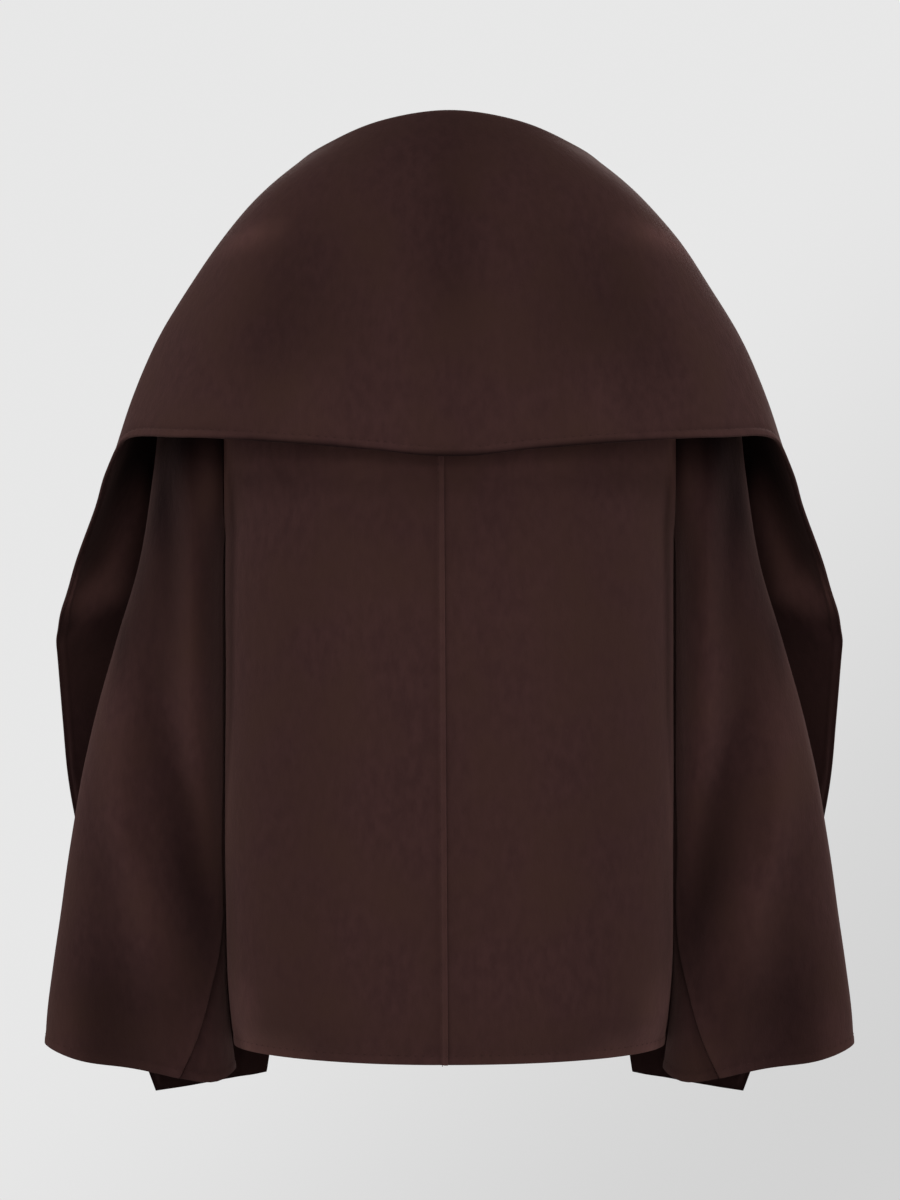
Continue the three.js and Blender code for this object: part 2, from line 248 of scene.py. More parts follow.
# %% Wool material
# Painted light: the attribute is mapped to a factor on the colour, and a little red is added so
# that painted shade stays red.
PAINTED_LIGHT_TO_FACTOR = (-2, 4, 0, 3)
PAINTED_SHADE_RED = (0.0018, 0, 0.0004)
SHEEN_TINT = (0.88, 0.50, 0.45, 1)


def noise_node(nodes, links, source, scale, detail, stretch=(1, 1, 1)):
    mapping = nodes.new("ShaderNodeMapping")
    mapping.inputs["Scale"].default_value = stretch
    links.new(source, mapping.inputs["Vector"])
    texture = nodes.new("ShaderNodeTexNoise")
    texture.inputs["Scale"].default_value = scale
    texture.inputs["Detail"].default_value = detail
    links.new(mapping.outputs["Vector"], texture.inputs["Vector"])
    return texture.outputs["Fac"]


def blend_colours(nodes, links, factor, first, second):
    mix = nodes.new("ShaderNodeMix")
    mix.data_type = "RGBA"
    links.new(factor, mix.inputs["Factor"])
    for socket, colour in ((mix.inputs["A"], first), (mix.inputs["B"], second)):
        if isinstance(colour, tuple):
            socket.default_value = (*colour, 1)
        else:
            links.new(colour, socket)
    return mix.outputs["Result"]


def spread(nodes, links, source, low, high, to_low=0.0, to_high=1.0):
    stretch = nodes.new("ShaderNodeMapRange")
    links.new(source, stretch.inputs["Value"])
    for socket, value in (("From Min", low), ("From Max", high),
                          ("To Min", to_low), ("To Max", to_high)):
        stretch.inputs[socket].default_value = value
    return stretch.outputs["Result"]


def painted_light_colour(nodes, links, colour, face):
    """Painted light and shade: a mesh attribute scales the colour, lighter where light is painted
    and darker where shade is painted, and a little red is added so that painted shade stays red.
    """
    painted_light_layer = nodes.new("ShaderNodeAttribute")
    painted_light_layer.attribute_name = face
    shade = nodes.new("ShaderNodeVectorMath")
    shade.operation = "MULTIPLY_ADD"
    links.new(colour, shade.inputs[0])
    links.new(spread(nodes, links, painted_light_layer.outputs["Fac"], *PAINTED_LIGHT_TO_FACTOR), shade.inputs[1])
    shade.inputs[2].default_value = PAINTED_SHADE_RED
    return shade.outputs["Vector"]


def wool(name, face, dark, light, warm, sheen):
    material = bpy.data.materials.new(name)
    material.use_nodes = True
    nodes, links = material.node_tree.nodes, material.node_tree.links
    shader = nodes["Principled BSDF"]
    place_on = nodes.new("ShaderNodeTexCoord").outputs["Object"]
    cloud = noise_node(nodes, links, place_on, 16, 3)
    fleck = noise_node(nodes, links, place_on, 170, 5, (1, 1, 0.55))
    # This nap noise is the real texture of the wool and goes to the bump only.
    nap_and_painted_light = noise_node(nodes, links, place_on, 800, 3, (1, 1, 0.4))
    base = blend_colours(nodes, links, spread(nodes, links, fleck, 0.34, 0.66), dark, light)
    warmed = blend_colours(nodes, links, spread(nodes, links, cloud, 0.4, 0.7), base, warm)
    links.new(painted_light_colour(nodes, links, warmed, face), shader.inputs["Base Color"])
    for socket, value in (("Roughness", 0.93), ("Specular IOR Level", 0.06),
                          ("Sheen Weight", sheen), ("Sheen Roughness", 0.5),
                          ("Sheen Tint", SHEEN_TINT)):
        shader.inputs[socket].default_value = value
    height = nodes.new("ShaderNodeMath")
    height.operation = "MULTIPLY_ADD"
    links.new(nap_and_painted_light, height.inputs[0])
    height.inputs[1].default_value = 0.45
    links.new(fleck, height.inputs[2])
    bump_map = nodes.new("ShaderNodeBump")
    bump_map.inputs["Strength"].default_value = 0.6
    bump_map.inputs["Distance"].default_value = 0.8 * MM
    links.new(height.outputs[0], bump_map.inputs["Height"])
    links.new(bump_map.outputs["Normal"], shader.inputs["Normal"])
    return material


brown_wool = wool("brown_wool", "nap_and_painted_light", dark=(0.0322, 0.0148, 0.0136),
                  light=(0.0402, 0.0184, 0.0168), warm=(0.0372, 0.0178, 0.0142),
                  sheen=0.10)
reverse_wool = wool("reverse_wool", "inside_painted_light", dark=(0.0324, 0.0149, 0.0135),
                    light=(0.0407, 0.0187, 0.0168), warm=(0.0382, 0.0180, 0.0146),
                    sheen=0.06)
print("materials:", brown_wool.name, reverse_wool.name)

# %% [markdown]
# ## The body
# Four panels make a tube: left and right back, left and right front. Its section is a rounded
# square, wider than it is deep. Above the armpit the rows leave the tube, run to the armhole
# and end in the neckline and the shoulder seam. A box with rounded edges would be quicker, but
# rows that are worked out give each panel its own clean grid, from seam to seam.

# %% Tables of the body
BODY_COLUMNS = ("height", "half width", "back", "front")
BODY = np.array([
    (-668, 171.5, 117, 114),
    (-640, 174.5, 120, 117),
    (-592, 177.5, 121, 118),
    (-510, 178.5, 121, 118),
    (-428, 178.5, 121, 118),
    (-345, 178.5, 121, 118),
    (-262, 178.5, 120, 118),
]) * MM
CENTRE_COLUMNS = ("depth", "height")
BACK_CENTRE = np.array([(120, -262), (121, -190), (117, -120), (100, -52), (58, -6)]) * MM
FRONT_CENTRE = np.array([(118, -262), (117, -204), (112, -152), (99, -104), (78, -64)]) * MM
print("body rows:", len(BODY), "columns:", BODY_COLUMNS, CENTRE_COLUMNS)

# %% Sleeve rings, which the armhole shares
RING_COLUMNS = ("outer x", "outer z", "inner x", "inner z", "middle", "depth", "under angle")
RINGS = np.array([
    (176, -50, 178.5, -262, 0, 58, 157.5),
    (212, -84, 179.4, -285, 1, 60, 158),
    (229, -140, 179.2, -320, 2, 60, 159),
    (236, -205, 179.2, -360, 3, 58, 160),
    (248, -280, 179.2, -405, 4, 57, 161),
    (267, -345, 179.2, -455, 5, 57, 162),
    (286, -415, 179.2, -510, 6, 58, 160),
    (301, -490, 179.2, -565, 7, 60, 165),
    (313, -573, 178.0, -625, 8, 62, 144),
    (321, -628, 174.0, -668, 8, 63, 127),
    (323.5, -664, 171.5, -698, 8, 63, 114),
])
CUFF_ROWS = (8.6, 10)
CUFF_CORNER = {"raised": 11, "share": 0.12}
CUFF_BOW = {"lowered": 5, "at": 0.78, "width": 0.22}


def rounded(angle, squareness):
    sine, cosine = np.sin(angle), np.cos(angle)
    return (np.sign(sine) * np.abs(sine) ** (2 / squareness),
            np.sign(cosine) * np.abs(cosine) ** (2 / squareness))


def ring_points(at, angle, towards_back):
    outer_x, outer_z, inner_x, inner_z, middle, depth, _ = smooth(RINGS, at)[0]
    sine, cosine = rounded(angle, CUFF_SQUARENESS)
    out = (1 + cosine) / 2
    x = inner_x + (outer_x - inner_x) * out
    z = inner_z + (outer_z - inner_z) * out
    corner = CUFF_CORNER["raised"] * np.clip(1 - out / CUFF_CORNER["share"], 0, 1) ** 2
    bow = CUFF_BOW["lowered"] * bump(out - CUFF_BOW["at"], CUFF_BOW["width"])
    z = z + (corner - bow) * ramp(at, *CUFF_ROWS)
    y = middle + towards_back * depth * sine
    return np.stack([x, y, z], axis=-1) * MM


def armhole_point(share, is_back):
    angle = np.array([np.pi * (1 - share)])
    return ring_points(0, angle, -1 if is_back else 1)[0]


# %% Neckline and shoulder seam
def neckline(share):
    """From the nape (0) over the shoulder point (0.5) to the pit of the neck (1)."""
    swing = np.pi / 2 * (1 - abs(1 - 2 * share))
    if share <= 0.5:
        height = NECK["nape"] + (NECK["side"] - NECK["nape"]) * np.sin(swing) ** 2
        return np.array([NECK["half_width"] * np.sin(swing), -NECK["back"] * np.cos(swing), height])
    x = -HALF_LAP + (NECK["half_width"] + HALF_LAP) * np.sin(swing)
    drop = (NECK["side"] - NECK["pit"]) * np.cos(swing)
    return np.array([x, NECK["front"] * np.cos(swing), NECK["side"] - drop])


def top_edge(across, is_back):
    if across <= NECK_SHARE:
        share = 0.5 * across / NECK_SHARE
        return neckline(share if is_back else 1 - share)
    share = (across - NECK_SHARE) / (1 - NECK_SHARE)
    x = NECK["half_width"] + (SHOULDER["x"] - NECK["half_width"]) * share
    z = NECK["side"] + (SHOULDER["z"] - NECK["side"]) * share
    return np.array([x, 0, z + SHOULDER["lift"] * np.sin(np.pi * share)])


# %% One row of a panel
DENSE = np.linspace(0, 1, 161)
ARMPIT_SHARE = 0.63
HEM_SOFTER = 0.5
HEM_BOW = 1.7 * MM
HEM_BOW_ROWS = 1.4
HEM_BOW_CURVE = 2.4


def panel_row(centre, side, is_back, top_share, squareness=BODY_SQUARENESS):
    """A quarter of the rounded square. At the armhole the same curve is only cut shorter."""
    cut = np.arccos(min(1, abs(side[1] / centre[1])) ** (squareness / 2))
    sine, cosine = rounded(cut * DENSE, squareness)
    sine /= sine[-1]
    x = centre[0] + (side[0] - centre[0]) * sine
    y = centre[1] * cosine
    y += (side[1] - y[-1]) * DENSE ** 4
    z = centre[2] + (side[2] - centre[2]) * sine ** 2
    row = np.stack([x, y, z], axis=1)
    if top_share == 0:
        return row
    top = np.array([top_edge(share, is_back) for share in DENSE])
    shift = (centre - top[0]) * (1 - DENSE[:, None]) + (side - top[-1]) * DENSE[:, None]
    return row + (top + shift - row) * top_share


def body_panel(is_back, across, up):
    facing = -1 if is_back else 1
    centre_line = BACK_CENTRE if is_back else FRONT_CENTRE
    armpit_row = len(BODY) - 1
    lines = []
    for share in up:
        row = np.interp(share, [0, ARMPIT_SHARE, 1], [0, armpit_row, armpit_row + 1])
        if row <= armpit_row:
            height, half_width, back, front = smooth(BODY, row)[0]
            centre = np.array([-HALF_LAP, facing * (back if is_back else front), height])
            side = np.array([half_width, -facing * HALF_LAP, height])
            at_hem = 1 - ramp(row, 0, HEM_BOW_ROWS)
            line = panel_row(centre, side, is_back, 0, BODY_SQUARENESS - HEM_SOFTER * at_hem)
            out = line[:, 0] / half_width
            line[:, 2] -= HEM_BOW * at_hem * (1 - HEM_BOW_CURVE * out ** 2)
        else:
            above = row - armpit_row
            depth, height = smooth(centre_line, above * (len(centre_line) - 1))[0]
            centre = np.array([-HALF_LAP, facing * depth, height])
            line = panel_row(centre, armhole_point(above, is_back), is_back, above ** 2)
        lines.append(evenly(line, across))
    return np.stack(lines)


# %% [markdown]
# ## The two backs
# The centre back seam is lapped: the left back is folded under and felled over the right one,
# which leaves a narrow raised band with a shadow on its right. The band leans a little, as a
# hand-sewn seam does. The hem is turned up and curls in slightly at its corners. A texture
# could draw the seam, but its shadow needs real relief, so the grid is raised along it.

# %% Back panels
# Painted light in proportion to relief: raised turned edges and fold ridges are painted lighter,
# dents and troughs darker.
EDGE_PAINTED_LIGHT = 0.3 / MM
FOLD_PAINTED_LIGHT = 0.06 / MM
PANEL_WIDTH = 265 * MM
PANEL_LENGTH = 690 * MM
LAP = 4.6 * MM
BACK_COLUMNS = [1.0, 2.6, 4.0, 5.2, 7.0, 10.0]
back_across = shares(PANEL_WIDTH, first=BACK_COLUMNS)
panel_up = shares(PANEL_LENGTH, first=EDGE_ROWS)


def back_relief(grid, seam_side):
    """Height of the hem and of the felled seam. The seam side is None on the lower panel."""
    sides = side_distances(grid)
    height = turned_edge(sides["bottom"])
    if seam_side:
        band = 1 - ramp(sides[seam_side], LAP - 1.2 * MM, LAP + 0.4 * MM)
        height += 1.5 * MM * band - 0.4 * MM * bump(sides[seam_side] - LAP - 1.4 * MM, 1.6 * MM)
    return height


def seam_shadow(grid):
    return -0.7 * bump(side_distances(grid)["first"], 2.2 * MM)


def back_painted_light(grid):
    """Painted light on a back, measured out from the centre and down from the nape. It is painted
    lighter where it turns away at its side, down its middle, just under the shawl where it takes
    out the shawl's shadow, and where its lower corner curls.
    """
    half, down = np.abs(grid[..., 0]), -grid[..., 2] / MM
    half = half / half.max(axis=1, keepdims=True)
    middle = 1 - ramp(half, 0.3, 0.75)
    painted_light_under_shawl = (1.2 + 0.8 * middle) * (1 - ramp(down, 203, 219 + 6 * middle))
    corner = 0.9 * ramp(half, 0.8, 0.92) * ramp(down, 590, 635)
    corner += 0.8 * ramp(half, 0.55, 0.75) * ramp(down, 640, 662)
    middle = middle * (0.24 + 0.24 * ramp(down, 230, 330))
    return 3.2 * ramp(half, 0.955, 0.992) + middle + painted_light_under_shawl + corner


def lean_seam(grid):
    """Moves the seam line a few millimetres to the left, more at the top than at the hem."""
    lean = np.interp(grid[..., 2], [-668 * MM, -180 * MM], [-1.2 * MM, -4.6 * MM])
    share = np.clip(1 - np.abs(grid[..., 0]) / (150 * MM), 0, 1) ** 2
    moved = grid.copy()
    moved[..., 0] += lean * share
    return moved


back_right_grid = body_panel(True, back_across, panel_up)
backs = {"back_right": back_right_grid, "back_left": mirrored(back_right_grid)}
for node, grid in backs.items():
    relief = back_relief(grid, "last" if node == "back_left" else None)
    # Painted light and shade: the turned hem and the seam band are lighter and the dents darker,
    # with the painted light of the back and a painted shadow beside the seam on the right back.
    nap_and_painted_light = EDGE_PAINTED_LIGHT * relief + back_painted_light(grid) + (seam_shadow(grid) if node == "back_right" else 0)
    uneven = unevenness(grid, 0.9 * MM, 90 * MM)
    backs[node] = lean_seam(raised(grid, relief + uneven))
    piece = cloth_mesh("wool_" + node, backs[node], nap_and_painted_light)
    thicken(piece)
    place(piece, node)

# %% [markdown]
# ## The two fronts
# The fronts meet edge to edge, with no button or zip. Their free edges and hem are turned by
# hand like the other edges. They could be cut from the backs with a lower neck, and the same
# function makes both, so the side seams match at every row.

# %% Front panels
front_across = shares(PANEL_WIDTH, first=EDGE_ROWS)
front_right_grid = body_panel(False, front_across, panel_up)[:, ::-1]
fronts = {"front_right": front_right_grid, "front_left": mirrored(front_right_grid)}
for node, grid in fronts.items():
    sides = side_distances(grid)
    open_side = "last" if node == "front_right" else "first"
    edge = turned_edge(np.minimum(sides["bottom"], sides[open_side]))
    fronts[node] = raised(grid, edge + unevenness(grid, 1.1 * MM, 80 * MM))
    # Painted light: the turned edges are painted lighter and the dent along them darker.
    piece = cloth_mesh("wool_" + node, fronts[node], EDGE_PAINTED_LIGHT * edge)
    thicken(piece)
    place(piece, node)

# %% [markdown]
# ## Sleeves and their folds
# Each sleeve is a wide bell of two pieces. Its folds fall from the shoulder and swing in
# towards the body, so each is a short table of heights down the sleeve: where the fold lies
# across it, how far it stands out or sinks in, and how wide it is. Sculpting could place the
# folds as well, but in a table each one is easy to move.

# %% Table of the folds
FOLD_COLUMNS = ("height", "across", "raised", "width")
SLEEVE_FOLDS = {
    "outer ridge": [(-340, 268, 0, 19), (-391, 265, 4, 18), (-442, 265, 6.5, 17),
                    (-496, 259, 8.5, 16), (-524, 247, 9.5, 16), (-551, 237, 9.5, 17),
                    (-580, 232, 8, 18), (-606, 229, 5.5, 19), (-634, 212, 2.5, 20),
                    (-664, 205, 1, 20)],
    "deep trough": [(-290, 240, 0, 15), (-344, 236, -3, 15), (-388, 231, -5, 16),
                    (-442, 222, -8, 16), (-496, 208, -12, 17), (-524, 203, -15, 18),
                    (-551, 196, -17, 18), (-579, 188, -16, 17), (-606, 181, -10, 16),
                    (-640, 176, -3, 16)],
    "inner ridge": [(-150, 204, 5, 14), (-240, 201, 9, 14), (-320, 199, 11, 14),
                    (-388, 198, 12, 14), (-442, 195, 11, 14), (-496, 186, 8, 13),
                    (-530, 180, 3, 12)],
    "outer trough": [(-150, 228, -2, 9), (-200, 224, -4, 9), (-260, 222, -4, 10),
                     (-320, 220, -2, 10), (-350, 219, 0, 10)],
    "hem roll": [(-560, 270, 0, 40), (-610, 268, -6, 40), (-664, 266, -14, 40),
                 (-700, 264, -16, 40)],
}


def fold_height(across, height, folds):
    total = np.zeros_like(across)
    for rows in folds.values():
        table = np.array(rows[::-1], float)
        centre, lift, width = (np.interp(height, table[:, 0], table[:, k]) for k in (1, 2, 3))
        lowest, highest = table[0, 0], table[-1, 0]
        fade = ramp(height, lowest - 30, lowest) * (1 - ramp(height, highest, highest + 40))
        total += fade * lift * np.exp(-((across - centre) / width) ** 2)
    return total


# %% Sleeve grids
def sleeve_line(at, turns):
    """Points round a ring: turn 0 is the outer side, -1 and 1 the inner side by back or front."""
    facing = np.where(turns < 0, -1.0, 1.0)
    angle = np.abs(turns) * np.pi
    line = ring_points(at, angle, facing)
    back_share = fold_height(line[:, 0] / MM, line[:, 2] / MM, SLEEVE_FOLDS)
    front_share = 0.6 * fold_height(line[:, 0] / MM + 6, line[:, 2] / MM + 35, SLEEVE_FOLDS)
    fade = min(1, at / 2) * np.sin(angle)
    line[:, 1] += facing * fade * np.where(turns < 0, back_share, front_share) * MM
    return line


# Painted shade down the sleeve by height, darkest just under the shawl, and patches of painted
# light and shade at given places.
SLEEVE_PAINTED_SHADE = {"height": [-440, -403, -345, -288, -231, -195],
               "nap_and_painted_light": [0, 0, -0.5, -0.95, -1.6, -2.2]}
PATCH_COLUMNS = ("height", "across", "how much lighter", "half height", "half width")
SLEEVE_PATCHES = [(-540, 274, -0.45, 75, 22), (-652, 306, 0.5, 38, 14),
                  (-222, 189, 2.0, 42, 11), (-228, 238, -0.9, 30, 8),
                  (-275, 250, -1.1, 34, 8), (-330, 262, -1.0, 40, 8)]
TROUGH_SHADE = {"nap_and_painted_light": -0.7, "depth": 17}


def sleeve_painted_light(grid):
    """Painted shade just under the shawl and over the lower sleeve, which fades out again at the
    cuff, and patches of painted light and shade.
    """
    height, across = grid[..., 2] / MM, np.abs(grid[..., 0]) / MM
    tone = np.interp(height, SLEEVE_PAINTED_SHADE["height"], SLEEVE_PAINTED_SHADE["nap_and_painted_light"])
    tone -= 0.36 * (1 - ramp(height, -655, -530)) - 0.36 * (1 - ramp(height, -675, -620))
    for middle, side, lighter, tall, wide in SLEEVE_PATCHES:
        tone += lighter * bump(height - middle, tall) * bump(across - side, wide)
    return tone


def fold_painted_light(grid):
    """Painted light on the folds: ridges are painted lighter and troughs darker, the deepest of
    them more than in proportion.
    """
    height = grid[..., 2] / MM
    folds = fold_height(np.abs(grid[..., 0]) / MM, height, SLEEVE_FOLDS)
    trough = (np.minimum(folds, 0) / TROUGH_SHADE["depth"]) ** 2
    nap_and_painted_light = FOLD_PAINTED_LIGHT * MM * folds + TROUGH_SHADE["nap_and_painted_light"] * trough * ramp(height, -640, -590)
    return nap_and_painted_light * np.clip(np.abs(grid[..., 1]) / (45 * MM), 0, 1)


def sleeve_grid(turns_at, width):
    last = len(RINGS) - 1
    across = shares(width)
    up = shares(600 * MM, first=SEAM_ROWS, last=EDGE_ROWS) * last
    lines = []
    for at in up:
        under = smooth(RINGS, at)[0][-1] / 180
        lines.append(evenly(sleeve_line(at, turns_at(under)), across))
    return np.stack(lines)


def upper_turns(under):
    return np.linspace(under, -under, 361)


def under_turns(under):
    turns = np.linspace(-under, -2 + under, 161)
    return np.where(turns < -1, 2 + turns, turns)


upper_grid = sleeve_grid(upper_turns, 360 * MM)
under_grid = sleeve_grid(under_turns, 90 * MM)
print("upper sleeve grid", upper_grid.shape, "under sleeve grid", under_grid.shape)

# %% [markdown]
# ## Sleeve pieces
# The upper sleeve laps over the under sleeve at the back seam, so its edge stands a little
# proud and throws the thin dark line that runs down to the cuff.

# %% Upper and under sleeves
def sleeve_relief(grid, lap):
    """The upper sleeve swells by its lap at both seams, and the under sleeve sinks by it."""
    sides = side_distances(grid)
    nearest = np.minimum(sides["first"], sides["last"])
    return turned_edge(sides["top"]) + lap * (1 - ramp(nearest, 4 * MM, 10 * MM))


sleeves = {}
for node, grid, lap, base_painted_shade, flat, area in (
        ("sleeve", upper_grid, 1.1 * MM, 0.0, (0.42, 0.66), 0.174),
        ("under_sleeve", under_grid, -1.6 * MM, -0.1, (0.13, 0.47), 0.026)):
    relief = sleeve_relief(grid, lap)
    # Painted light and shade: the turned cuff and the lap of the upper sleeve are painted lighter
    # and the sunk edge of the under sleeve darker, with the painted light of the folds, the painted
    # shade of the sleeve, and a slightly darker under sleeve.
    nap_and_painted_light = EDGE_PAINTED_LIGHT * relief + fold_painted_light(grid) + sleeve_painted_light(grid) + base_painted_shade
    shaped = raised(grid, relief + unevenness(grid, 0.8 * MM, 60 * MM))
    for side, sleeve, side_painted_light in (("_right", shaped, nap_and_painted_light),
                                   ("_left", mirrored(shaped), nap_and_painted_light[:, ::-1])):
        sleeves[node + side] = sleeve
        piece = cloth_mesh("wool_" + node + side, sleeve, side_painted_light)
        thicken(piece)
        place(piece, node + side)

# %% [markdown]
# ## The shawl
# The shawl is one long piece. It is sewn to the neckline, stands up to a soft roll, and falls
# over the shoulders to a free edge. In front its two ends hang free. Each station below is a
# line across it, from the inner edge over the roll to the outer edge. A simulation would
# settle somewhere of its own, and stations keep the outline that the garment has.

# %% Table of the stations
STATION_COLUMNS = ("fold", "roll", "upper", "lower", "edge")
SEWN = [  # share of the neckline, then the columns above
    (0.00, 1.0, (0, -78, 69.9), (0, -121, 8), (0, -144, -100), (0, -152, -200)),
    (0.20, 1.0, (52, -68, 63.3), (74, -112, 10), (101, -135, -98), (120, -147, -192)),
    (0.36, 1.0, (90, -44, 50.5), (134, -84, 3), (178, -104, -95), (206, -120, -187)),
    (0.50, 1.0, (116, -5, 37), (167, -18, -8), (225, -28, -92), (261, -50, -189)),
    (0.62, 0.9, (122, 36, 12), (173, 36, -36), (240, 34, -132), (283, 8, -238)),
    (0.74, 0.8, (112, 78, -28), (164, 88, -82), (243, 84, -188), (307, 48, -293)),
]
FREE = [  # inner edge, then the columns above
    ((48, 84, -52), 0.5, (80, 116, -84), (146, 122, -150), (242, 106, -258), (323, 80, -345)),
    ((58, 126, -136), 0.0, (78, 130, -148), (138, 131, -204), (236, 116, -318), (318.5, 90, -413)),
    ((84, 134, -300), 0.0, (100, 134, -306), (146, 129, -336), (232, 110, -412), (313, 98, -484)),
    ((120, 131, -500), 0.0, (133, 129, -504), (164, 122, -520), (224, 108, -560), (285, 100, -602)),
    ((152, 116, -704), 0.0, (162, 115, -706), (183, 112, -709), (213, 107, -714), (243, 102, -718)),
]
CORNER = len(SEWN)
print("stations:", len(SEWN) + len(FREE), "columns:", STATION_COLUMNS)


# %% Lines along the shawl
FOOT_DROP = 1 * MM
FOLD_DROP = {"inside": 0.9 * ROLL, "outside": 0.62 * ROLL}


def stand_foot(share):
    return neckline(share) - np.array([0, 0, FOOT_DROP])


def station_points(inner, fold, roll, upper, lower, edge):
    roll, upper, lower, edge = (np.array(p) * MM for p in (roll, upper, lower, edge))
    out = (upper - inner) * np.array([1, 1, 0])
    out *= ROLL / np.linalg.norm(out)
    folded_in = roll - out - np.array([0, 0, FOLD_DROP["inside"]])
    folded_out = roll + out - np.array([0, 0, FOLD_DROP["outside"]])
    flat_in = (inner + roll) / 2
    flat_out = roll + (upper - roll) / 4
    return np.array([inner, flat_in + (folded_in - flat_in) * fold, roll,
                     flat_out + (folded_out - flat_out) * fold, upper, lower, edge])


right_stations = [station_points(stand_foot(row[0]), *row[1:]) for row in SEWN]
right_stations += [station_points(np.array(row[0]) * MM, *row[1:]) for row in FREE]
left_stations = [points * np.array([-1, 1, 1]) for points in right_stations[:0:-1]]
stations = np.array(left_stations + right_stations)
middle_station = len(left_stations)


def along_shawl(at):
    """The seven points of the line across the shawl at a fractional station."""
    points = curve_through(stations, at)[0]
    corners = [0, middle_station - CORNER, middle_station + CORNER, len(stations) - 1]
    part = 0 if at < corners[1] else 1 if at <= corners[2] else 2
    edge = stations[corners[part]:corners[part + 1] + 1, 6]
    points[6] = curve_through(edge, at - corners[part])[0]
    from_back = abs(at - middle_station)
    if from_back <= len(SEWN) - 1:
        share = np.interp(from_back, range(len(SEWN)), [row[0] for row in SEWN])
        points[0] = stand_foot(share) * np.array([1 if at >= middle_station else -1, 1, 1])
    return points


# %% [markdown]
# ## Folds of the shawl
# Wool this thick hangs almost smooth. A shallow dip runs down the middle of the back, the
# cloth lifts where it passes over each shoulder, and soft waves end at the free edge. The
# ends swing forward over the sleeves and break in one fold from the corner inwards.

# %% Tables of the folds of the shawl
WAVE_COLUMNS = ("station from the centre back", "share from", "share to", "raised", "width")
PAINTED_LIGHT_SPOT_COLUMNS = ("station from the centre back", "share", "width", "width in shares",
                 "how much lighter")
SHAWL_WAVES = [
    (0.00, 0.40, 0.72, -2.4, 0.26),
    (-0.36, 0.62, 1.10, 1.6, 0.20),
    (0.38, 0.60, 1.10, 1.4, 0.22),
    (-0.84, 0.84, 1.10, 1.8, 0.22),
    (0.94, 0.82, 1.10, 1.6, 0.22),
    (-1.45, 0.46, 0.86, -2.0, 0.36),
    (1.60, 0.50, 0.90, -1.8, 0.32),
    (-2.15, 0.46, 0.56, 1.8, 0.34),
    (2.75, 0.44, 0.53, 1.8, 0.34),
    (-3.55, 0.52, 0.84, -2.2, 0.34),
    (3.50, 0.50, 0.86, -2.0, 0.34),
    (-4.40, 0.40, 0.84, 2.2, 0.30),
    (4.50, 0.42, 0.82, 2.0, 0.34),
]
# Painted highlights on both shoulders, painted shade in the hollows below them, and a painted
# highlight low on the middle of the back.
PAINTED_LIGHT_SPOTS = [(-2.10, 0.515, 0.42, 0.035, 1.3), (2.40, 0.504, 0.50, 0.038, 1.9),
          (-1.20, 0.69, 0.45, 0.18, -0.4), (1.25, 0.68, 0.55, 0.20, -0.45),
          (0.0, 0.96, 1.7, 0.12, 0.32)]
FALL_COLUMNS = ("share", "station from", "station to", "raised", "width")
RIGHT_FALLS = [(0.30, 6.2, 9.8, 4.0, 0.07), (0.45, 6.6, 9.4, -4.6, 0.08),
               (0.67, 7.0, 9.9, 3.4, 0.09), (0.84, 7.2, 9.0, -2.6, 0.07)]
LEFT_FALLS = [(0.26, 6.4, 9.9, 3.6, 0.06), (0.41, 6.3, 9.0, -4.2, 0.08),
              (0.60, 6.9, 9.6, 3.8, 0.08), (0.80, 7.3, 9.5, -3.0, 0.08)]
DROP_COLUMNS = ("station from the centre back", "lowered", "width")
EDGE_DROPS = [(0.0, 1.9, 1.1), (-0.44, -0.7, 0.16), (-0.18, 0.9, 0.16), (0.12, 1.2, 0.20),
              (0.50, -0.9, 0.20)]
SIDE_COLUMNS = ("station from the centre back", "share", "moved out", "width", "width in shares")
SIDE_SHIFTS = [(3.3, 0.60, -2.4, 0.45, 0.12), (3.15, 1.0, -3.2, 0.22, 0.08),
               (3.42, 1.0, -1.8, 0.18, 0.10), (5.55, 1.0, 3.4, 0.3, 0.25),
               (8.2, 1.0, -2.2, 0.6, 0.3)]
SHAWL_STEPS = 8
ROLL_ROWS = [1.6, 4.0, 7.0, 11.0]
print("waves:", len(SHAWL_WAVES), "falls:", len(RIGHT_FALLS) + len(LEFT_FALLS))

# %% Shawl grid
inner_places = shares(100 * MM, first=SEAM_ROWS, last=ROLL_ROWS)
outer_places = shares(320 * MM, first=ROLL_ROWS, last=EDGE_ROWS)


def shawl_rows():
    last = len(stations) - 1
    inside = np.arange(1, last * SHAWL_STEPS) / SHAWL_STEPS
    ends = np.array([0, 0.012, 0.03, 0.055])
    return np.concatenate([ends, inside, (last - ends)[::-1]])


def shawl_line(at):
    """One line across the shawl. The roll always falls on a column, so its crest stays smooth."""
    points = along_shawl(at)
    inner = curve_through(points, np.linspace(0, 2, 81))
    outer = curve_through(points, np.linspace(2, 6, 201))
    return np.concatenate([evenly(inner, inner_places), evenly(outer, outer_places)[1:]])


shawl_at = shawl_rows()
shawl_base = np.stack([shawl_line(at) for at in shawl_at])
from_back = np.repeat((shawl_at - middle_station)[:, None], shawl_base.shape[1], axis=1)
shawl_sides = side_distances(shawl_base)
down = shawl_sides["first"] / shawl_sides["first"][:, -1:]
for middle, drop, width in EDGE_DROPS:
    shawl_base[..., 2] -= drop * MM * bump(from_back - middle, width) * ramp(down, 0.75, 1) ** 2
for middle, share, shift, width, share_width in SIDE_SHIFTS:
    near = bump(np.abs(from_back) - middle, width) * bump(down - share, share_width)
    shawl_base[..., 0] += np.sign(from_back) * shift * MM * near
print("shawl grid", shawl_base.shape)


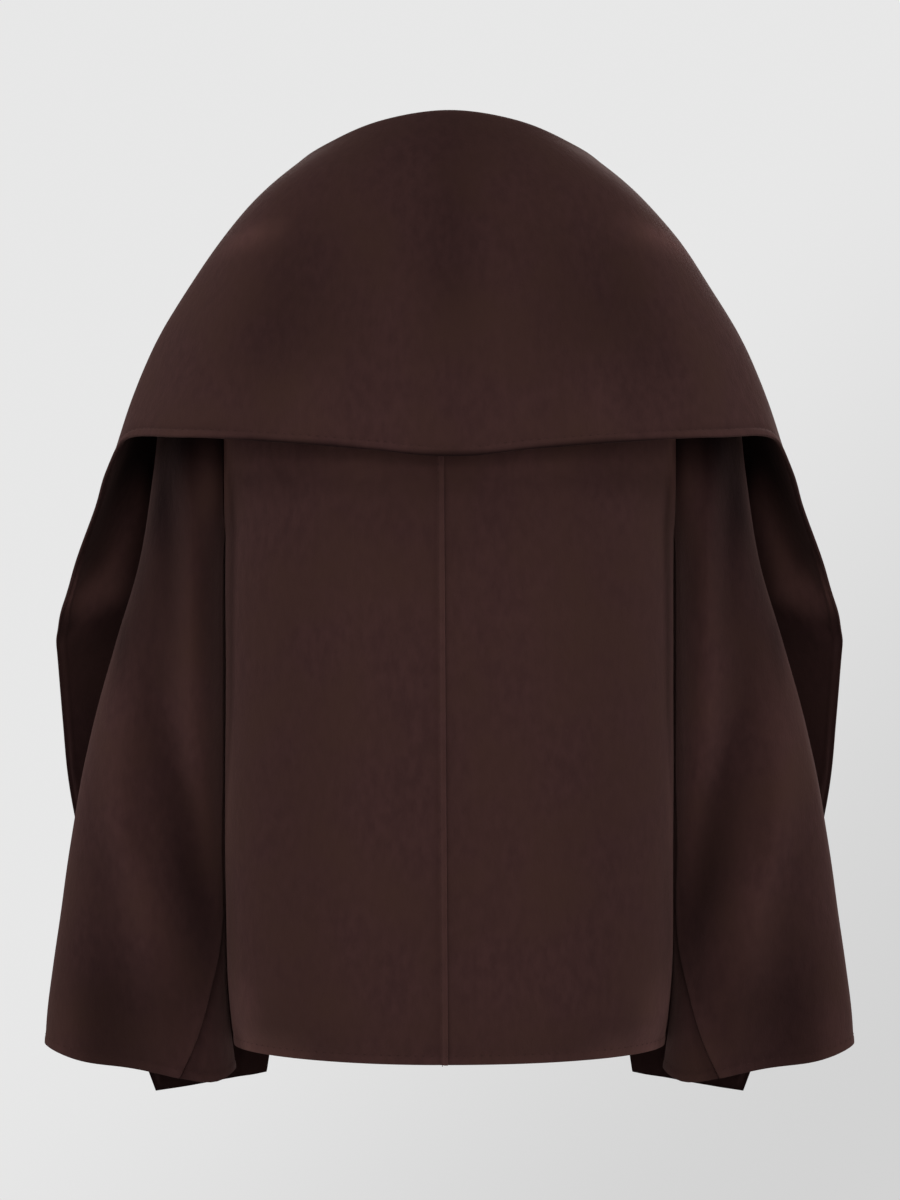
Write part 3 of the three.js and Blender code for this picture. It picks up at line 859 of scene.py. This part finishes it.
# %% Relief of the shawl
def wave_relief(from_back, down):
    total = 0
    for middle, start, end, lift, width in SHAWL_WAVES:
        reach = ramp(down, start - 0.09, start + 0.09) * (1 - ramp(down, end - 0.09, end + 0.09))
        total += lift * reach * bump(from_back - middle, width)
    for side, falls in ((1, RIGHT_FALLS), (-1, LEFT_FALLS)):
        for share, start, end, lift, width in falls:
            along = side * from_back
            reach = ramp(along, start - 0.6, start + 0.6) * (1 - ramp(along, end - 0.6, end + 0.6))
            total += lift * reach * bump(down - share, width)
    return total * MM


CREASE = {"x": 314, "z": -344, "run": -0.90, "rise": 0.435, "depth": -7 * MM}


def corner_crease(grid):
    """The hanging front breaks in one crease from each corner inwards, and bulges to the back.

    Seen from there, its inside is painted lighter above the break and painted darker along it and
    below it.
    """
    x = np.abs(grid[..., 0]) / MM - CREASE["x"]
    z = grid[..., 2] / MM - CREASE["z"]
    along = x * CREASE["run"] + z * CREASE["rise"]
    below = z * CREASE["run"] - x * CREASE["rise"]
    profile = np.where(below < 0, bump(below, 30), bump(below, 12))
    facing = ramp(grid[..., 1], 20 * MM, 60 * MM)
    reach = ramp(along, -14, 16) * (1 - ramp(along, 60, 115)) * facing
    # Painted highlight above the crease and painted shade along and below it, on the inner face
    # only.
    light = 2.45 * bump(below + 31 + np.maximum(0, along - 50), 17) * ramp(along, 0, 22)
    deep = 0.5 * bump(below + 5, 7) * (1 - ramp(along, 60, 90)) * ramp(along, 5, 25)
    inside = (light - deep) * facing * (1 - ramp(along, 100, 130))
    return CREASE["depth"] * profile * reach, inside


# %% Painted light and shade of the shawl
def shawl_painted_light(from_back, down):
    """Painted shade along the crest and down the middle of the back, with the spots of painted
    light and shade.
    """
    tone = -0.54 * bump(down - 0.22, 0.17) * bump(from_back, 2.0)
    tone -= 0.14 * bump(from_back, 0.34) * ramp(down, 0.2, 0.34) * (1 - ramp(down, 0.6, 0.75))
    for middle, share, width, share_width, lighter in PAINTED_LIGHT_SPOTS:
        tone += lighter * bump(from_back - middle, width) * bump(down - share, share_width)
    return tone


def inside_painted_shade(grid):
    """Painted shade on the inner face, darker on the hanging fronts right under the shoulder and at
    their lowest corners.
    """
    height = grid[..., 2] / MM
    hanging = ramp(grid[..., 1], 0, 40 * MM)
    deep = 0.1 + 1.5 * bump(height + 200, 34) + 0.1 * (1 - ramp(height, -705, -660))
    return INSIDE_PAINTED_SHADE - hanging * deep


# %% Shawl piece
free_side = np.minimum(shawl_sides["last"], np.minimum(shawl_sides["bottom"], shawl_sides["top"]))
side_share = ramp(np.abs(from_back), 1.1, 2.0)
shawl_edge = turned_edge(free_side, 1.2 * MM, 0.9 * MM) * (0.4 + 0.6 * side_share)
shawl_folds = wave_relief(from_back, down)
crease, crease_painted_light = corner_crease(shawl_base)
# Painted shadow: a dark line along the free edge of the shawl, wider and more uneven across the
# back.
lip = 0.9 + (1 - side_share) * (1.6 + unevenness(shawl_base, 2.0, 45 * MM))
lip_painted_shadow = (0.8 + 1.2 * (1 - side_share)) * bump(free_side, lip * MM)
# Painted light on the outer face: lighter turned edges and fold ridges, the painted light and shade
# of the shawl, less the painted shadow line.
shawl_outer_painted_light = (EDGE_PAINTED_LIGHT * shawl_edge * (0.25 + 0.75 * side_share) + 2 * FOLD_PAINTED_LIGHT * shawl_folds
             + shawl_painted_light(from_back, down) - lip_painted_shadow)
# Painted shade on the inner face, with the painted light and shade of the crease and a darker
# outermost edge.
shawl_inside_painted_light = inside_painted_shade(shawl_base) + crease_painted_light - 0.5 * bump(free_side, 0.9 * MM)
shawl_uneven = unevenness(shawl_base, 0.8 * MM, 95 * MM) * ramp(down, 0.25, 0.5)
shawl_grid = raised(shawl_base, shawl_edge + shawl_folds + crease + shawl_uneven)
shawl = cloth_mesh("wool_shawl", shawl_grid, shawl_outer_painted_light, shawl_inside_painted_light)
thicken(shawl)
place(shawl, "shawl")

# %% [markdown]
# ## Stitches
# The edges are closed by hand with small slip stitches, which show as a row of short pricks
# just inside the turned edge. A stitch repeats along a line, so Geometry Nodes make them: the
# line is resampled to one point a stitch, a small lens of thread is set on each point along
# the line, and the copies are made real so that they can be exported.

# %% Stitch tree
STITCH = {"spacing": 6.5 * MM, "length": 2.4 * MM, "width": 0.55 * MM}


def stitch_tree(material):
    tree = bpy.data.node_groups.new("slip_stitches", "GeometryNodeTree")
    face = tree.interface
    face.new_socket("Geometry", in_out="INPUT", socket_type="NodeSocketGeometry")
    for name in STITCH:
        face.new_socket(name, in_out="INPUT", socket_type="NodeSocketFloat")
    face.new_socket("Geometry", in_out="OUTPUT", socket_type="NodeSocketGeometry")
    nodes, links = tree.nodes, tree.links
    start = nodes.new("NodeGroupInput")
    curve = nodes.new("GeometryNodeMeshToCurve")
    links.new(start.outputs["Geometry"], curve.inputs["Mesh"])
    points = nodes.new("GeometryNodeCurveToPoints")
    points.mode = "LENGTH"
    links.new(curve.outputs["Curve"], points.inputs["Curve"])
    links.new(start.outputs["spacing"], points.inputs["Length"])
    thread = nodes.new("GeometryNodeMeshUVSphere")
    thread.inputs["Segments"].default_value = 6
    thread.inputs["Rings"].default_value = 4
    thread.inputs["Radius"].default_value = 0.5
    size = nodes.new("ShaderNodeCombineXYZ")
    links.new(start.outputs["width"], size.inputs["X"])
    links.new(start.outputs["width"], size.inputs["Y"])
    links.new(start.outputs["length"], size.inputs["Z"])
    align = nodes.new("FunctionNodeAlignRotationToVector")
    align.axis = "Z"
    links.new(points.outputs["Tangent"], align.inputs["Vector"])
    copies = nodes.new("GeometryNodeInstanceOnPoints")
    links.new(points.outputs["Points"], copies.inputs["Points"])
    links.new(thread.outputs["Mesh"], copies.inputs["Instance"])
    links.new(align.outputs["Rotation"], copies.inputs["Rotation"])
    links.new(size.outputs["Vector"], copies.inputs["Scale"])
    real = nodes.new("GeometryNodeRealizeInstances")
    links.new(copies.outputs["Instances"], real.inputs["Geometry"])
    paint = nodes.new("GeometryNodeSetMaterial")
    paint.inputs["Material"].default_value = material
    links.new(real.outputs["Geometry"], paint.inputs["Geometry"])
    end = nodes.new("NodeGroupOutput")
    links.new(paint.outputs["Geometry"], end.inputs["Geometry"])
    return tree


thread_wool = wool("thread_wool", "nap_and_painted_light", dark=(0.022, 0.0105, 0.009),
                   light=(0.036, 0.018, 0.015), warm=(0.030, 0.015, 0.012), sheen=0.10)
slip_stitches = stitch_tree(thread_wool)
print("tree:", slip_stitches.name, len(slip_stitches.nodes), "nodes")

# %% [markdown]
# A stitch line follows the surface at a fixed distance from an edge. Each path is found by
# walking in from the edge on every column of the grid, and lifted a hair off the cloth.

# %% Stitch paths
STITCH_IN = TURNED_EDGE + 0.7 * MM
LIFT = 0.05 * MM


def inset_path(grid, side, distance=STITCH_IN):
    lifted = raised(grid, np.full(grid.shape[:2], LIFT))
    lines = lifted if side in ("first", "last") else lifted.transpose(1, 0, 2)
    if side in ("last", "top"):
        lines = lines[:, ::-1]
    path = []
    for line in lines:
        walked = lengths_along(line)
        path.append([np.interp(distance, walked, line[:, k]) for k in range(3)])
    return np.array(path)


def stitch_piece(name, paths):
    points, edges = [], []
    for path in paths:
        first = len(points)
        points += path.tolist()
        edges += [(first + k, first + k + 1) for k in range(len(path) - 1)]
    mesh = bpy.data.meshes.new(name + "_path")
    mesh.from_pydata(points, edges, [])
    guide = bpy.data.objects.new(name + "_path", mesh)
    bpy.context.scene.collection.objects.link(guide)
    maker = guide.modifiers.new("stitches", "NODES")
    maker.node_group = slip_stitches
    for socket in slip_stitches.interface.items_tree:
        if socket.in_out == "INPUT" and socket.name in STITCH:
            maker[socket.identifier] = STITCH[socket.name]
    seen = guide.evaluated_get(bpy.context.evaluated_depsgraph_get())
    made = bpy.data.objects.new(name, bpy.data.meshes.new_from_object(seen))
    bpy.context.scene.collection.objects.link(made)
    bpy.data.objects.remove(guide)
    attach(made, "root")
    print(name, len(made.data.polygons), "faces")
    return made


# %% Stitch every turned edge
stitch_piece("stitches_shawl", [inset_path(shawl_grid[3:-3], "last"),
                                inset_path(shawl_grid[:, 7:-7], "bottom"),
                                inset_path(shawl_grid[:, 7:-7], "top")])
stitch_piece("stitches_hem", [inset_path(grid, "bottom")
                              for grid in (*backs.values(), *fronts.values())])
stitch_piece("stitches_cuffs", [inset_path(grid, "top") for grid in sleeves.values()])
stitch_piece("stitches_fronts", [inset_path(fronts["front_right"], "last"),
                                 inset_path(fronts["front_left"], "first")])
stitch_piece("stitches_centre_back", [inset_path(backs["back_left"], "last", LAP + 0.6 * MM)])

# %% [markdown]
# ## Studio
# A pale floor lies far below, so that the jacket can be looked at from a low angle as well.
# The background is the world itself, a pale grey that falls off a little to the lower right.
# The light is soft and comes from above and behind the camera, with weak strips on both sides
# that brush the edges of the wool. A picture of a studio could light it as well, but lamps
# are easier to move one by one.

# %% Floor
FLOOR = -2.0
FLOOR_RADIUS = 2.6


def pale_floor():
    turns = np.linspace(0, 2 * np.pi, 96, endpoint=False)
    points = [(FLOOR_RADIUS * np.cos(a), FLOOR_RADIUS * np.sin(a), FLOOR) for a in turns]
    mesh = bpy.data.meshes.new("floor")
    mesh.from_pydata(points, [], [range(len(points))])
    floor = bpy.data.objects.new("floor", mesh)
    bpy.context.scene.collection.objects.link(floor)
    material = bpy.data.materials.new("pale_floor")
    material.use_nodes = True
    shader = material.node_tree.nodes["Principled BSDF"]
    shader.inputs["Base Color"].default_value = (0.60, 0.60, 0.60, 1)
    shader.inputs["Roughness"].default_value = 0.8
    mesh.materials.append(material)
    return floor


pale_floor()
print("floor at", FLOOR, "m")

# %% Background and lights
FALL_TO_RIGHT = -1.1
SLOPE_SPAN = (-0.27, 0.03)


def pale_world(seen_low, seen_high, light):
    world = bpy.data.worlds.new("studio")
    world.use_nodes = True
    nodes, links = world.node_tree.nodes, world.node_tree.links
    nodes.clear()
    direction = nodes.new("ShaderNodeSeparateXYZ")
    links.new(nodes.new("ShaderNodeTexCoord").outputs["Generated"], direction.inputs[0])
    slope = nodes.new("ShaderNodeMath")
    slope.operation = "MULTIPLY_ADD"
    links.new(direction.outputs["X"], slope.inputs[0])
    slope.inputs[1].default_value = FALL_TO_RIGHT
    links.new(direction.outputs["Z"], slope.inputs[2])
    share = nodes.new("ShaderNodeMapRange")
    share.interpolation_type = "SMOOTHSTEP"
    links.new(slope.outputs[0], share.inputs["Value"])
    for socket, value in (("From Min", SLOPE_SPAN[0]), ("From Max", SLOPE_SPAN[1]),
                          ("To Min", seen_low), ("To Max", seen_high)):
        share.inputs[socket].default_value = value
    shown = nodes.new("ShaderNodeBackground")
    links.new(share.outputs["Result"], shown.inputs["Color"])
    soft = nodes.new("ShaderNodeBackground")
    soft.inputs["Color"].default_value = (light, light, light, 1)
    rays = nodes.new("ShaderNodeLightPath")
    choose = nodes.new("ShaderNodeMixShader")
    links.new(rays.outputs["Is Camera Ray"], choose.inputs["Fac"])
    links.new(soft.outputs[0], choose.inputs[1])
    links.new(shown.outputs[0], choose.inputs[2])
    output = nodes.new("ShaderNodeOutputWorld")
    links.new(choose.outputs[0], output.inputs["Surface"])
    bpy.context.scene.world = world


def softbox(name, at, target, size, power):
    light = bpy.data.lights.new(name, "AREA")
    light.shape = "RECTANGLE"
    light.size, light.size_y = size
    light.energy = power
    lamp = bpy.data.objects.new(name, light)
    lamp.location = at
    lamp.rotation_euler = (Vector(target) - Vector(at)).to_track_quat("-Z", "Y").to_euler()
    lamp.visible_camera = False
    bpy.context.scene.collection.objects.link(lamp)


pale_world(0.650, 0.803, 0.12)
middle = (0, 0, -0.3)
softbox("key", (-0.2, -2.9, 1.3), middle, (2.6, 2.0), 56)
softbox("fill", (0.3, -3.6, -0.1), middle, (1.8, 1.6), 25)
softbox("left_strip", (-2.3, -0.25, 0.2), middle, (0.6, 1.8), 22)
softbox("right_strip", (2.3, -0.25, 0.2), middle, (0.6, 1.8), 22)
softbox("front_fill", (0.4, 3.2, 0.9), middle, (2.6, 2.0), 110)

# %% [markdown]
# ## Camera
# The camera stands straight behind the wearer, level with the middle of the back and about
# three metres away. The lens follows from the height of the frame at that distance.

# %% Camera
CAMERA_DISTANCE = 3.0
FRAME_HEIGHT = 0.96
MIDDLE_HEIGHT = -0.312
camera_data = bpy.data.cameras.new("camera")
camera_data.sensor_width = 36
camera_data.lens = camera_data.sensor_width * CAMERA_DISTANCE / FRAME_HEIGHT
camera = bpy.data.objects.new("camera", camera_data)
camera.location = (0.4 * MM, -CAMERA_DISTANCE, MIDDLE_HEIGHT)
camera.rotation_euler = (np.pi / 2, 0, 0)
bpy.context.scene.collection.objects.link(camera)
bpy.context.scene.camera = camera
bpy.context.scene.view_settings.view_transform = "Standard"
print("lens", round(camera_data.lens, 1), "mm")
